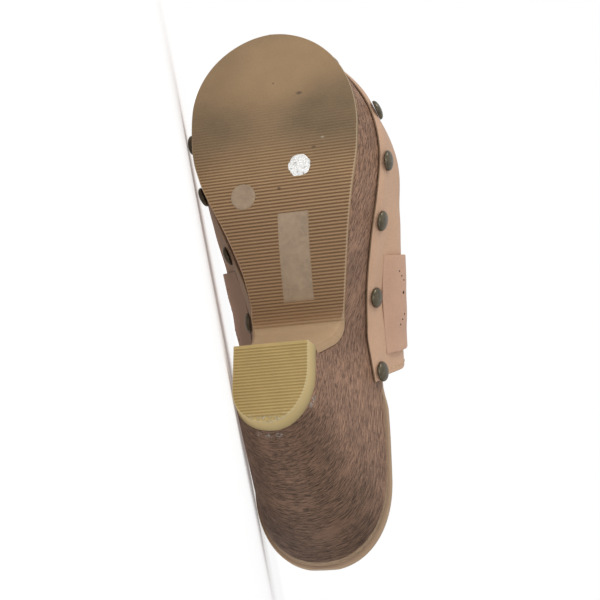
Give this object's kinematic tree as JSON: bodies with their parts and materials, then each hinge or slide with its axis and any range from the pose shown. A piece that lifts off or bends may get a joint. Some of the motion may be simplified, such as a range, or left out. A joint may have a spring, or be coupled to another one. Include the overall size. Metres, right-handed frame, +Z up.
{
  "type": "platform clog",
  "caption": "Left-foot mule clog with a closed leather upper, saddle strap, domed stud edging, wood-look platform sole with high block heel and ribbed tread, lying on its side.",
  "frame": {"origin": "centre of the bounding box at floor level, with the clog lying on its medial side", "axes": "+Z up; -X towards the toe; -Y towards the underside of the sole; the lateral side faces up"},
  "size_m": [0.2518, 0.1232, 0.0955],
  "materials": {
    "sole_unit": "satin",
    "outsole": "matte",
    "heel_lift": "matte",
    "footbed": "satin",
    "upper": "satin",
    "saddle_strap": "satin",
    "stud": "satin"
  },
  "bodies": {
    "root": {"sole_unit": "sole_unit", "outsole": "outsole", "heel_lift": "heel_lift", "footbed": "footbed", "upper": "upper", "saddle_strap": "saddle_strap", "stud_lateral_1": "stud", "stud_lateral_2": "stud", "stud_lateral_3": "stud", "stud_lateral_4": "stud", "stud_lateral_5": "stud", "stud_lateral_6": "stud", "stud_lateral_7": "stud", "stud_medial_1": "stud", "stud_medial_2": "stud", "stud_medial_3": "stud", "stud_medial_4": "stud", "stud_medial_5": "stud", "stud_medial_6": "stud", "stud_medial_7": "stud", "stud_toe": "stud"}
  },
  "joints": []
}
